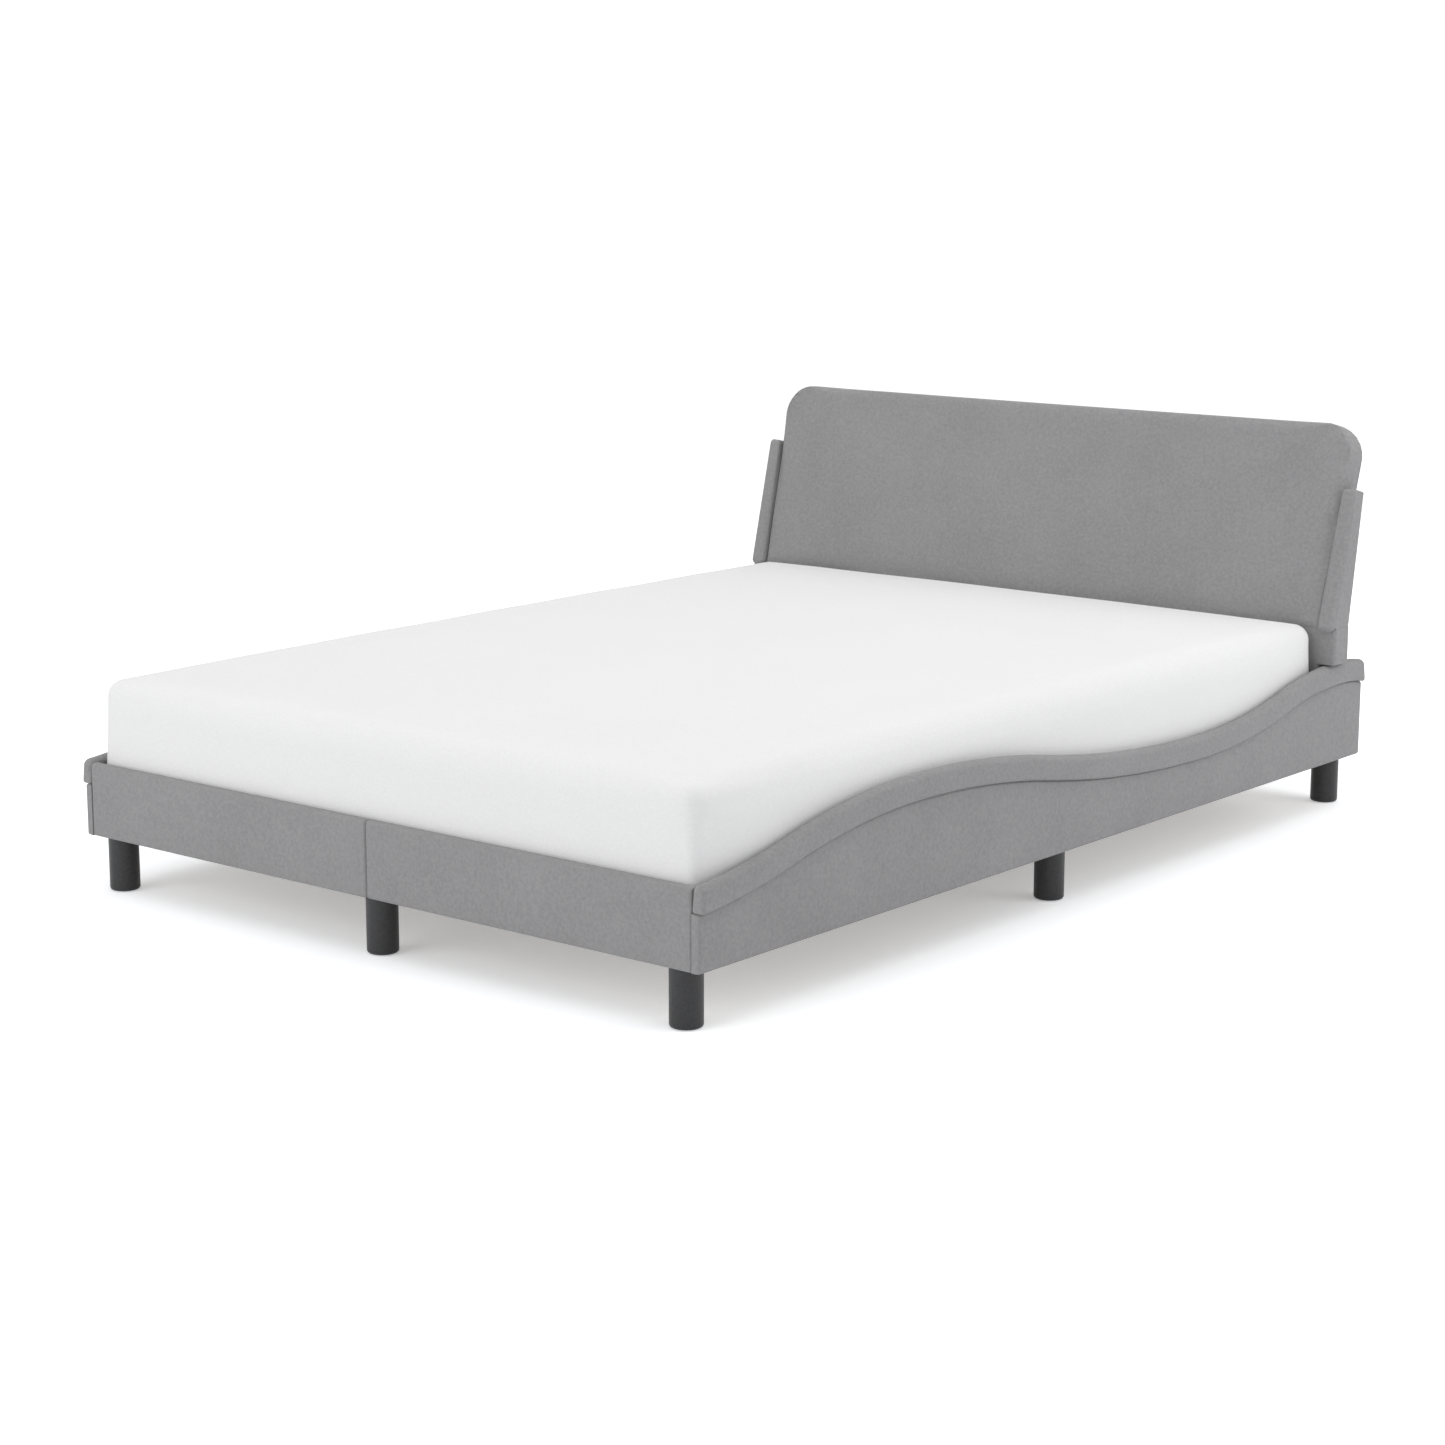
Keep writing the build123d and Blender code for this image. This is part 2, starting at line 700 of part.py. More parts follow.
# Mattress: crowned block with drawn-in sides, shrunk by a skin at its sides and top
def mattress_block(skin, bottom_radius):
    half_width = mattress_width / 2 - skin
    half_length = mattress_length / 2 - skin
    height = mattress_height - skin
    crown_radius = (half_width**2 + half_length**2) / (2 * mattress_crown)
    centre_y = foot_inside + mattress_foot_gap + mattress_length / 2
    with BuildPart() as block:
        with BuildSketch(Plane((0, centre_y, slat_top))) as plan:
            with BuildLine():
                corners = [
                    (-half_width, -half_length),
                    (half_width, -half_length),
                    (half_width, half_length),
                    (-half_width, half_length),
                ]
                waists = [
                    (0, mattress_waist - half_length),
                    (half_width - mattress_waist, 0),
                    (0, half_length - mattress_waist),
                    (mattress_waist - half_width, 0),
                ]
                for number, waist in enumerate(waists):
                    ThreePointArc(corners[number], waist, corners[(number + 1) % 4])
            make_face()
            fillet(plan.vertices(), radius=mattress_corner_radius - skin)
        extrude(amount=height)
        with Locations((0, centre_y, slat_top + height - crown_radius)):
            Sphere(crown_radius, mode=Mode.INTERSECT)
        top_face = block.faces().sort_by(Axis.Z)[-1]
        fillet(top_face.edges(), radius=mattress_top_radius - skin)
        if bottom_radius > 0:
            fillet(block.faces().sort_by(Axis.Z)[0].edges(), radius=bottom_radius)
    return block.part


with BuildPart() as mattress_cover:
    add(mattress_block(0, mattress_bottom_radius))
    add(mattress_block(mattress_cover_thickness, 0), mode=Mode.SUBTRACT)
keep(mattress_cover.part, "mattress_cover")

with BuildPart() as mattress_core:
    add(mattress_block(mattress_cover_thickness + mattress_cover_gap, 0))
keep(mattress_core.part, "mattress_core")
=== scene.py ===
import json
import math

import bpy
import numpy as np
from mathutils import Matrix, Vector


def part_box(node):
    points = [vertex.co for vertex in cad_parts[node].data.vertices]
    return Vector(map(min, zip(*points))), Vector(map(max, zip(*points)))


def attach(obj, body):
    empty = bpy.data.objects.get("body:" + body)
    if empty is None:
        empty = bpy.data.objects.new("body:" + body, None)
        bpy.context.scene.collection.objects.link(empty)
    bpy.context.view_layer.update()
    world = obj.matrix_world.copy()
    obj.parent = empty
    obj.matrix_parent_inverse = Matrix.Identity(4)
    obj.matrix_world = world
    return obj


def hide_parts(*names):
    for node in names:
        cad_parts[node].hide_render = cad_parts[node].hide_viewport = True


# Upholstered double bed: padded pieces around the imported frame, in metres, +Y to the head and +Z up
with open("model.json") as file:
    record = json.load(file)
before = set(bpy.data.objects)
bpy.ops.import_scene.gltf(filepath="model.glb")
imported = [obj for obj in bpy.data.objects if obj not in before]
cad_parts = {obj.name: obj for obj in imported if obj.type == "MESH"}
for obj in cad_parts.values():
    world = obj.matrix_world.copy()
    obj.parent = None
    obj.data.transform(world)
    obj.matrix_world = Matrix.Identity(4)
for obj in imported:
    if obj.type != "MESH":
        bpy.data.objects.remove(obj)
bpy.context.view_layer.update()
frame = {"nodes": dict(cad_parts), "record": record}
print("frame loaded:", len(frame["nodes"]), "nodes")

hair = 0.0001  # half the width of a doubled grid line
edgeLines = 6  # grid lines over a rounded edge
sharpAngle = math.radians(50)  # edges past this stay sharp
onSide = 0.9999  # a place past this share lies on a side of the block


# Lines across one side of a block: tangent spacing inside the rounded edges, even steps between them,
# and a doubled line at each cut
def gridLines(low, high, radiusLow, radiusHigh, step, cuts=()):
    turn = np.tan(np.linspace(0, math.pi / 4, edgeLines))
    start = low + radiusLow * (1 - turn)
    end = high - radiusHigh * (1 - turn)
    count = max(2, int((high - low) / step))
    middle = np.linspace(low + radiusLow, high - radiusHigh, count + 1)
    doubled = [cut + side * hair for cut in cuts for side in (-1, 1)]
    lines = np.concatenate([start, middle, end, doubled])
    return np.unique(np.round(lines, 6))


# Surface of a box on three sets of grid lines: the outer points of the grid, and its quads facing outwards
def boxGrid(xs, ys, zs):
    shell = np.zeros((len(xs), len(ys), len(zs)), bool)
    shell[[0, -1]] = True
    shell[:, [0, -1]] = True
    shell[:, :, [0, -1]] = True
    number = np.full(shell.shape, -1)
    number[shell] = np.arange(shell.sum())
    across = np.meshgrid(xs, ys, zs, indexing="ij")
    points = np.stack([a[shell] for a in across], 1)
    patches = [
        (number[:, :, -1], False),
        (number[:, :, 0], True),
        (number[:, -1, :], True),
        (number[:, 0, :], False),
        (number[-1], False),
        (number[0], True),
    ]
    quads = []
    for grid, turned in patches:
        quad = np.stack([grid[:-1, :-1], grid[1:, :-1], grid[1:, 1:], grid[:-1, 1:]], -1).reshape(-1, 4)
        quads.append(quad[:, ::-1] if turned else quad)
    return points, np.concatenate(quads)


# Smooth step from 0 to 1: three times the square less twice the cube
def smoothStep(value):
    t = np.clip(value, 0, 1)
    return t * t * (3 - 2 * t)


# A padded block between two corners. Each point of the box is pulled to its radius from the inner box, so
# the edges are round; the radius runs from one end of the soft axis to the other. Each side then swells by
# its puff times one minus the squares of the two places on it, and a pocket presses one side in, inside
# its rim.
def paddedBlock(low, high, softAxis, radii, step, puff=(0, 0, 0), pocket=None, cuts=((), (), ())):
    low = np.array(low, float)
    high = np.array(high, float)
    lines = []
    for axis in range(3):
        ends = radii if axis == softAxis else (max(radii), max(radii))
        marks = list(cuts[axis])
        if pocket and axis != pocket["axis"]:
            marks += [low[axis] + pocket["rim"], high[axis] - pocket["rim"]]
        lines.append(gridLines(low[axis], high[axis], *ends, step, marks))
    points, quads = boxGrid(*lines)
    along = (points[:, softAxis] - low[softAxis]) / (high[softAxis] - low[softAxis])
    radius = (radii[0] + (radii[1] - radii[0]) * smoothStep(along))[:, None]
    core = np.clip(points, low + radius, high - radius)
    outward = points - core
    outward /= np.linalg.norm(outward, axis=1, keepdims=True)
    place = (2 * points - low - high) / (high - low)
    inPocket = np.zeros(len(points), bool)
    if pocket:
        inPocket = place[:, pocket["axis"]] * pocket["side"] > onSide
        for axis in range(3):
            if axis != pocket["axis"]:
                inPocket &= points[:, axis] > low[axis] + pocket["rim"]
                inPocket &= points[:, axis] < high[axis] - pocket["rim"]
    points = core + outward * radius
    fall = 1 - place**2
    full = np.stack([fall[:, 1] * fall[:, 2], fall[:, 0] * fall[:, 2], fall[:, 0] * fall[:, 1]], 1)
    swell = full * np.array(puff) * outward
    swell[inPocket] = 0
    points += swell
    if pocket:
        points[inPocket, pocket["axis"]] -= pocket["side"] * pocket["depth"]
    return points, quads


cutLook = {"sunk": 0.0003, "kept": 0.02, "reach": 1e-6}


# A rounded side cut nearly flat: what lies past the limit keeps a fiftieth of its depth
def cutFlat(values, limit, way):
    past = (values - limit) * way
    flat = limit - way * (cutLook["sunk"] - cutLook["kept"] * past)
    return np.where(past > -cutLook["reach"], flat, values)


# Slow, slight unevenness of stuffed cloth: three crossing sine waves, added along one axis
def unevenness(points, size, wavelength, axis):
    a, b = [points[:, other] for other in range(3) if other != axis]
    turns = 2 * math.pi / wavelength
    wave = np.sin(a * turns + 1.3) * np.sin(b * turns * 1.27 + 0.4)
    wave += 0.6 * np.sin((a + b) * turns * 0.61) + 0.5 * np.sin((a - 1.7 * b) * turns * 0.83 + 2.1)
    moved = points.copy()
    moved[:, axis] += size * wave / 2.1
    return moved


# A mesh object at the origin, with a UV map in metres: each quad is seen along its main direction
def makePiece(look, points, quads, material):
    mesh = bpy.data.meshes.new(look["name"])
    mesh.from_pydata(points.tolist(), [], quads.tolist())
    normal = np.cross(points[quads[:, 1]] - points[quads[:, 0]], points[quads[:, 3]] - points[quads[:, 0]])
    main = np.abs(normal).argmax(1)
    first = np.where(main == 0, 1, 0)
    second = np.where(main == 2, 1, 2)
    corners = points[quads]
    rows = np.arange(len(quads))[:, None]
    cols = np.arange(4)[None]
    uv = np.stack([corners[rows, cols, first[:, None]], corners[rows, cols, second[:, None]]], -1)
    layer = mesh.uv_layers.new(name="cloth")
    layer.data.foreach_set("uv", uv.astype(np.float32).ravel())
    mesh.polygons.foreach_set("use_smooth", np.ones(len(quads), bool))
    mesh.set_sharp_from_angle(angle=sharpAngle)
    mesh.materials.append(material)
    piece = bpy.data.objects.new(look["name"], mesh)
    bpy.context.scene.collection.objects.link(piece)
    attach(piece, look["body"])
    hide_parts(*look["nodes"])
    return piece


# Stuffing: a cloth run under pressure on a copy of the piece, with its pinned points held. Each point keeps
# that movement, cut to the cap on each axis.
def stuff(piece, pinned, look):
    scene = bpy.context.scene
    trial = piece.copy()
    trial.data = piece.data.copy()
    scene.collection.objects.link(trial)
    held = trial.vertex_groups.new(name="held")
    held.add(np.flatnonzero(pinned).tolist(), 1.0, "REPLACE")
    cloth = trial.modifiers.new("stuffing", "CLOTH")
    cloth.settings.vertex_group_mass = held.name
    cloth.settings.mass = look["mass"]
    cloth.settings.use_pressure = True
    cloth.settings.uniform_pressure_force = look["pressure"]
    cloth.settings.effector_weights.gravity = 0
    cloth.point_cache.frame_end = look["frames"]
    for number in range(1, look["frames"] + 1):
        scene.frame_set(number)
    settled = trial.evaluated_get(bpy.context.evaluated_depsgraph_get())
    start = np.empty(3 * len(piece.data.vertices), np.float32)
    end = start.copy()
    piece.data.vertices.foreach_get("co", start)
    settled.data.vertices.foreach_get("co", end)
    cap = np.tile(look["cap"], len(start) // 3)
    moved = np.clip(end - start, -cap, cap)
    piece.data.vertices.foreach_set("co", start + moved.astype(np.float32))
    piece.data.update()
    scene.frame_set(1)
    spent = trial.data
    bpy.data.objects.remove(trial)
    bpy.data.meshes.remove(spent)
    print(piece.name, "stuffed, largest move", round(float(np.abs(moved).max()), 4))


# Where the noise of each kind of finish turns from dark to pale, and how the cloth's threads and nap stand
surfaceLook = {
    "clothRamp": (0.36, 0.68), "woodRamp": (0.32, 0.68), "hardRamp": (0.3, 0.7),
    "threadWobble": 0.6, "napHeight": 1.5,
}


# Materials: each has its own node tree
def newMaterial(name, roughness):
    material = bpy.data.materials.new(name)
    material.use_nodes = True
    tree = material.node_tree
    shader = tree.nodes["Principled BSDF"]
    shader.inputs["Roughness"].default_value = roughness
    return material, tree, shader


# Stretched noise on a coordinate
def noiseOn(tree, coordinate, scale, detail, stretch=(1, 1, 1)):
    mapping = tree.nodes.new("ShaderNodeMapping")
    mapping.inputs["Scale"].default_value = stretch
    noise = tree.nodes.new("ShaderNodeTexNoise")
    noise.inputs["Scale"].default_value = scale
    noise.inputs["Detail"].default_value = detail
    tree.links.new(coordinate, mapping.inputs["Vector"])
    tree.links.new(mapping.outputs["Vector"], noise.inputs["Vector"])
    return noise.outputs["Fac"]


# Wave bands at an even spacing: the wave node has 20 bands in each 2 pi at scale 1
def bandsOn(tree, coordinate, direction, spacing):
    bands = tree.nodes.new("ShaderNodeTexWave")
    bands.bands_direction = direction
    bands.inputs["Scale"].default_value = math.pi / (10 * spacing)
    bands.inputs["Distortion"].default_value = surfaceLook["threadWobble"]
    bands.inputs["Detail"].default_value = 1
    tree.links.new(coordinate, bands.inputs["Vector"])
    return bands.outputs["Fac"]


def combine(tree, operation, first, second):
    node = tree.nodes.new("ShaderNodeMath")
    node.operation = operation
    for socket, value in zip(node.inputs, (first, second)):
        if isinstance(value, (int, float)):
            socket.default_value = value
        else:
            tree.links.new(value, socket)
    return node.outputs["Value"]


def colourBetween(tree, shader, factor, ends, finish):
    ramp = tree.nodes.new("ShaderNodeValToRGB")
    ramp.color_ramp.elements[0].position = ends[0]
    ramp.color_ramp.elements[1].position = ends[1]
    ramp.color_ramp.elements[0].color = (*finish["dark"], 1)
    ramp.color_ramp.elements[1].color = (*finish["pale"], 1)
    tree.links.new(factor, ramp.inputs["Fac"])
    tree.links.new(ramp.outputs["Color"], shader.inputs["Base Color"])


def bumpFrom(tree, shader, height, strength, distance):
    bump = tree.nodes.new("ShaderNodeBump")
    bump.inputs["Strength"].default_value = strength
    bump.inputs["Distance"].default_value = distance
    tree.links.new(height, bump.inputs["Height"])
    tree.links.new(bump.outputs["Normal"], shader.inputs["Normal"])


# Cloth: slow mottling, fine fibres and a woven grid of two sets of bands on the UV map
def clothMaterial(finish):
    material, tree, shader = newMaterial(finish["name"], finish["roughness"])
    shader.inputs["Sheen Weight"].default_value = finish["sheen"]
    shader.inputs["Sheen Roughness"].default_value = finish["sheenRoughness"]
    shader.inputs["Specular IOR Level"].default_value = finish["specular"]
    coordinate = tree.nodes.new("ShaderNodeTexCoord")
    mottle = noiseOn(tree, coordinate.outputs["Object"], finish["mottleScale"], 4)
    nap = noiseOn(tree, coordinate.outputs["Object"], finish["napScale"], 3)
    fibre = noiseOn(tree, coordinate.outputs["Object"], finish["fibreScale"], 2)
    warp = bandsOn(tree, coordinate.outputs["UV"], "X", finish["thread"])
    weft = bandsOn(tree, coordinate.outputs["UV"], "Y", finish["thread"])
    weave = combine(tree, "MULTIPLY", warp, weft)
    slow = combine(tree, "MULTIPLY", mottle, finish["mottle"])
    middle = combine(tree, "MULTIPLY", nap, finish["nap"])
    fine = combine(tree, "MULTIPLY", fibre, finish["fibre"])
    shade = combine(tree, "ADD", combine(tree, "ADD", slow, middle), fine)
    threads = combine(tree, "MULTIPLY_ADD", weave, finish["threadShade"])
    tree.links.new(shade, threads.node.inputs[2])
    colourBetween(tree, shader, threads, surfaceLook["clothRamp"], finish)
    height = combine(tree, "ADD", weave, fibre)
    height = combine(tree, "ADD", height, combine(tree, "MULTIPLY", nap, surfaceLook["napHeight"]))
    bumpFrom(tree, shader, height, finish["bump"], finish["depth"])
    return material


upholsteryFinish = {
    "name": "greyUpholstery", "roughness": 0.88, "sheen": 0.12, "sheenRoughness": 0.45, "specular": 0.25,
    "mottleScale": 7, "mottle": 0.25, "napScale": 160, "nap": 0.55, "fibreScale": 620, "fibre": 0.2,
    "thread": 0.0016, "threadShade": 0.06, "dark": (0.262, 0.259, 0.263), "pale": (0.334, 0.331, 0.336),
    "bump": 0.45, "depth": 0.0008,
}
mattressFinish = {
    "name": "whiteKnit", "roughness": 0.92, "sheen": 0.05, "sheenRoughness": 0.5, "specular": 0.2,
    "mottleScale": 4, "mottle": 0.15, "napScale": 220, "nap": 0.45, "fibreScale": 600, "fibre": 0.4,
    "thread": 0.0022, "threadShade": 0.04, "dark": (0.801, 0.800, 0.800), "pale": (0.857, 0.856, 0.856),
    "bump": 0.25, "depth": 0.0006,
}
dustClothFinish = {
    "name": "blackDustCloth", "roughness": 0.95, "sheen": 0.05, "sheenRoughness": 0.6, "specular": 0.1,
    "mottleScale": 12, "mottle": 0.4, "napScale": 90, "nap": 0.4, "fibreScale": 700, "fibre": 0.2,
    "thread": 0.0010, "threadShade": 0.1, "dark": (0.020, 0.020, 0.021), "pale": (0.040, 0.040, 0.042),
    "bump": 0.5, "depth": 0.0005,
}
webbingFinish = {
    "name": "blackWebbing", "roughness": 0.8, "sheen": 0.0, "sheenRoughness": 0.5, "specular": 0.3,
    "mottleScale": 20, "mottle": 0.3, "napScale": 120, "nap": 0.4, "fibreScale": 600, "fibre": 0.3,
    "thread": 0.0024, "threadShade": 0.3, "dark": (0.025, 0.025, 0.026), "pale": (0.070, 0.070, 0.072),
    "bump": 0.8, "depth": 0.001,
}


# Wood: long stretched noise for the grain, along X, Y or Z, and fine pores
def woodMaterial(finish):
    material, tree, shader = newMaterial(finish["name"], finish["roughness"])
    coordinate = tree.nodes.new("ShaderNodeTexCoord")
    grain = noiseOn(tree, coordinate.outputs["Object"], finish["grainScale"], 6, finish["stretch"])
    pores = noiseOn(tree, coordinate.outputs["Object"], finish["poreScale"], 3, finish["stretch"])
    both = combine(tree, "MULTIPLY_ADD", pores, finish["pores"])
    tree.links.new(combine(tree, "MULTIPLY", grain, 1 - finish["pores"]), both.node.inputs[2])
    colourBetween(tree, shader, both, surfaceLook["woodRamp"], finish)
    bumpFrom(tree, shader, both, finish["bump"], finish["depth"])
    return material


boardFinish = {
    "name": "paleBoard", "roughness": 0.62, "grainScale": 26, "alongGrain": 0.1, "poreScale": 400,
    "pores": 0.25, "bump": 0.25, "depth": 0.0006, "dark": (0.38, 0.28, 0.17), "pale": (0.56, 0.44, 0.29),
}
slatFinish = {
    "name": "slatPlywood", "roughness": 0.5, "grainScale": 24, "stretch": (0.1, 1, 1), "poreScale": 400,
    "pores": 0.25, "bump": 0.25, "depth": 0.0006, "dark": (0.50, 0.37, 0.21), "pale": (0.70, 0.56, 0.36),
}


# Plain hard finishes: fine noise in colour, a faint bump
def hardMaterial(finish):
    material, tree, shader = newMaterial(finish["name"], finish["roughness"])
    shader.inputs["Metallic"].default_value = finish["metallic"]
    shader.inputs["Specular IOR Level"].default_value = finish["specular"]
    coordinate = tree.nodes.new("ShaderNodeTexCoord")
    grain = noiseOn(tree, coordinate.outputs["Object"], finish["scale"], 4, finish["stretch"])
    colourBetween(tree, shader, grain, surfaceLook["hardRamp"], finish)
    bumpFrom(tree, shader, grain, finish["bump"], finish["depth"])
    return material


legFinish = {
    "name": "satinBlack", "roughness": 0.42, "metallic": 0.0, "specular": 0.32, "scale": 260,
    "stretch": (1, 1, 1),
    "dark": (0.028, 0.028, 0.029), "pale": (0.040, 0.040, 0.042), "bump": 0.12, "depth": 0.0003,
}
glideFinish = {
    "name": "feltGlide", "roughness": 0.95, "metallic": 0.0, "specular": 0.5, "scale": 500,
    "stretch": (1, 1, 1),
    "dark": (0.015, 0.015, 0.015), "pale": (0.035, 0.034, 0.033), "bump": 0.5, "depth": 0.0003,
}
steelFinish = {
    "name": "zincSteel", "roughness": 0.38, "metallic": 1.0, "specular": 0.5, "scale": 90,
    "stretch": (1, 1, 4),
    "dark": (0.48, 0.48, 0.49), "pale": (0.62, 0.62, 0.63), "bump": 0.1, "depth": 0.0003,
}

upholstery = clothMaterial(upholsteryFinish)
whiteKnit = clothMaterial(mattressFinish)
dustCloth = clothMaterial(dustClothFinish)
webbing = clothMaterial(webbingFinish)
slotMaterials = {
    "upholstery": upholstery,
    "mattress_fabric": whiteKnit,
    "mattress_foam": whiteKnit,
    "dust_cloth": dustCloth,
    "webbing": webbing,
    "slat_plywood": woodMaterial(slatFinish),
    "leg_plastic": hardMaterial(legFinish),
    "glide_felt": hardMaterial(glideFinish),
    "zinc_steel": hardMaterial(steelFinish),
}
# Boards have their grain along their longest side
boardMaterials = []
for axis in range(3):
    stretch = [1.0, 1.0, 1.0]
    stretch[axis] = boardFinish["alongGrain"]
    boardName = boardFinish["name"] + "XYZ"[axis]
    boardMaterials.append(woodMaterial({**boardFinish, "name": boardName, "stretch": stretch}))
for part in frame["record"]["subparts"]:
    low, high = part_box(part["node"])
    longest = int(np.argmax(np.array(high) - np.array(low)))
    for held in frame["nodes"][part["node"]].material_slots:
        held.material = slotMaterials.get(part["material_slot"], boardMaterials[longest])
print("materials made:", len(slotMaterials) + len(boardMaterials))


# Mattress: a padded block a little lower than its solid, sinking towards its corners by a share of the
# squared distance, then stuffed
mattressLook = {
    "name": "mattress", "body": "mattress", "slot": "mattress_fabric",
    "nodes": ("mattress_cover", "mattress_core"),
    "radii": (0.012, 0.030), "step": 0.016, "inset": (-0.004, 0.001, 0.004), "crown": 0.005, "fill": 0.95,
    "lumps": 0.0008, "lumpLength": 0.42,
    "mass": 0.3, "pressure": 0.12, "frames": 20, "cap": (0.006, 0.003, 0.005), "pinHeight": 0.004,
}


def makeMattress(look):
    low, high = [np.array(corner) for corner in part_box("mattress_cover")]
    low[:2] += look["inset"][:2]
    high -= look["inset"]
    points, quads = paddedBlock(low, high, 2, look["radii"], look["step"])
    place = (2 * points - low - high) / (high - low)
    half = (high - low) / 2
    far = (place[:, 0] * half[0]) ** 2 + (place[:, 1] * half[1]) ** 2
    sunk = look["crown"] * far / (half[0] ** 2 + half[1] ** 2)
    points[:, 2] -= sunk * smoothStep((place[:, 2] + 1) / 2)
    points = unevenness(points, look["lumps"], look["lumpLength"], 2)
    points[:, 2] = np.maximum(points[:, 2], low[2])
    piece = makePiece(look, points, quads, whiteKnit)
    stuff(piece, points[:, 2] < low[2] + look["pinHeight"], look)


makeMattress(mattressLook)
print("mattress made")

# The wave along the side rails: distances from the foot, heights from the floor
waveLook = {
    "foot": (0.0, 0.236), "rise": (0.225, 0.273), "crest": (0.570, 0.3155),
    "trough": (1.460, 0.237), "headCrest": (1.985, 0.301), "tail": (2.077, 0.292),
    "fallShare": 0.41, "climbShare": 0.58,
}
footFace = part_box("side_rail_cap_right")[0].y


# Centre of a circle arc from a start with a known direction to an end: it lies on the normal at the start
def arcCentre(start, direction, end):
    start, end = np.array(start), np.array(end)
    normal = np.array((-direction[1], direction[0]))
    chord = end - start
    reach = chord @ chord / (2 * (normal @ chord))
    return start + normal * reach


# Tangent of a circle at a point: the spoke turned by a quarter, the way that the direction goes
def turnAt(centre, point, direction):
    spoke = np.array(point) - centre
    tangent = np.array((-spoke[1], spoke[0]))
    return tangent if tangent @ np.array(direction) > 0 else -tangent


# The point at a share of the way from start to end
def between(start, end, share):
    return tuple(np.array(start) + (np.array(end) - np.array(start)) * share)


# Height of the wave at each distance: tangent arcs between the crests and troughs, each a circle z(y)
def waveHeight(distance):
    level = np.array((1.0, 0.0))
    look = waveLook
    fallTurn = between(look["crest"], look["trough"], look["fallShare"])
    climbTurn = between(look["trough"], look["headCrest"], look["climbShare"])
    runs = []
    swell = arcCentre(look["crest"], -level, look["rise"])
    runs.append((look["rise"], look["crest"], swell))
    back = turnAt(swell, look["rise"], -level)
    back = back / np.linalg.norm(back)
    runs.append((look["foot"], look["rise"], arcCentre(look["rise"], back, look["foot"])))
    for start, turn, end in (
        (look["crest"], fallTurn, look["trough"]),
        (look["trough"], climbTurn, look["headCrest"]),
    ):
        centre = arcCentre(start, level, turn)
        runs.append((start, turn, centre))
        ahead = turnAt(centre, turn, level)
        runs.append((turn, end, arcCentre(turn, ahead / np.linalg.norm(ahead), end)))
    runs.append((look["headCrest"], look["tail"], arcCentre(look["headCrest"], level, look["tail"])))
    height = np.full(len(distance), look["tail"][1])
    for start, end, centre in runs:
        on = (distance >= start[0]) & (distance <= end[0])
        radius = math.hypot(start[0] - centre[0], start[1] - centre[1])
        side = 1 if start[1] + end[1] > 2 * centre[1] else -1
        height[on] = centre[1] + side * np.sqrt(radius**2 - (distance[on] - centre[0]) ** 2)
    height[distance < 0] = look["foot"][1]
    return height


# Mirror image across the middle plane, with its quads turned round to face outwards
def mirrorX(points, quads):
    return points * np.array((-1, 1, 1)), quads[:, ::-1]


# Cap: a padded bar, fuller at its top edges, lifted along the wave
capLook = {
    "slot": "upholstery", "body": "frame", "radii": (0.005, 0.011), "step": 0.012, "puff": (0.0015, 0, 0),
    "lumps": 0.0005, "lumpLength": 0.16, "seamGap": 0.0003, "fill": 0.9,
}
# Rail cover: a padded tray under the cap, stretched in height from its underside to the cap's seam
railLook = {
    "slot": "upholstery", "body": "frame", "radii": (0.0008, 0.005), "step": 0.02, "puff": (0.0012, 0, 0),
    "rim": 0.003, "depth": 0.0112, "height": 0.135, "seam": 0.0443, "fill": 0.9,
}


def makeRails():
    low, high = [np.array(corner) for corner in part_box("side_rail_cap_right")]
    capPoints, capQuads = paddedBlock(
        (low[0], low[1], capLook["seamGap"] - railLook["seam"]), (high[0], high[1], 0), 2, capLook["radii"],
        capLook["step"], capLook["puff"],
    )
    capPoints = unevenness(capPoints, capLook["lumps"], capLook["lumpLength"], 0)
    capPoints[:, 2] += waveHeight(capPoints[:, 1] - footFace)
    low, high = [np.array(corner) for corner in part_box("side_rail_cover_right")]
    tray = {"axis": 0, "side": -1, "rim": railLook["rim"], "depth": railLook["depth"]}
    bottom = low[2]
    railPoints, railQuads = paddedBlock(
        (low[0], low[1], 0), (high[0], high[1], railLook["height"]), 0, railLook["radii"], railLook["step"],
        railLook["puff"], tray,
    )
    seam = waveHeight(railPoints[:, 1] - footFace) - railLook["seam"]
    railPoints[:, 2] = bottom + railPoints[:, 2] / railLook["height"] * (seam - bottom)
    for side in ("right", "left"):
        cap = (capPoints, capQuads) if side == "right" else mirrorX(capPoints, capQuads)
        rail = (railPoints, railQuads) if side == "right" else mirrorX(railPoints, railQuads)
        capSide = {**capLook, "name": f"wave_cap_{side}", "nodes": (f"side_rail_cap_{side}",)}
        makePiece(capSide, *cap, upholstery)
        railSide = {**railLook, "name": f"rail_cover_{side}", "nodes": (f"side_rail_cover_{side}",)}
        makePiece(railSide, *rail, upholstery)


makeRails()
print("side rails made")

# Footboard halves and head rail: padded trays, open to the inside of the frame
crossLook = {
    "slot": "upholstery", "body": "frame", "radii": (0.005, 0.0008), "step": 0.018,
    "puff": (0, 0.0015, 0), "rim": 0.003, "depth": 0.0112, "fill": 0.9,
}


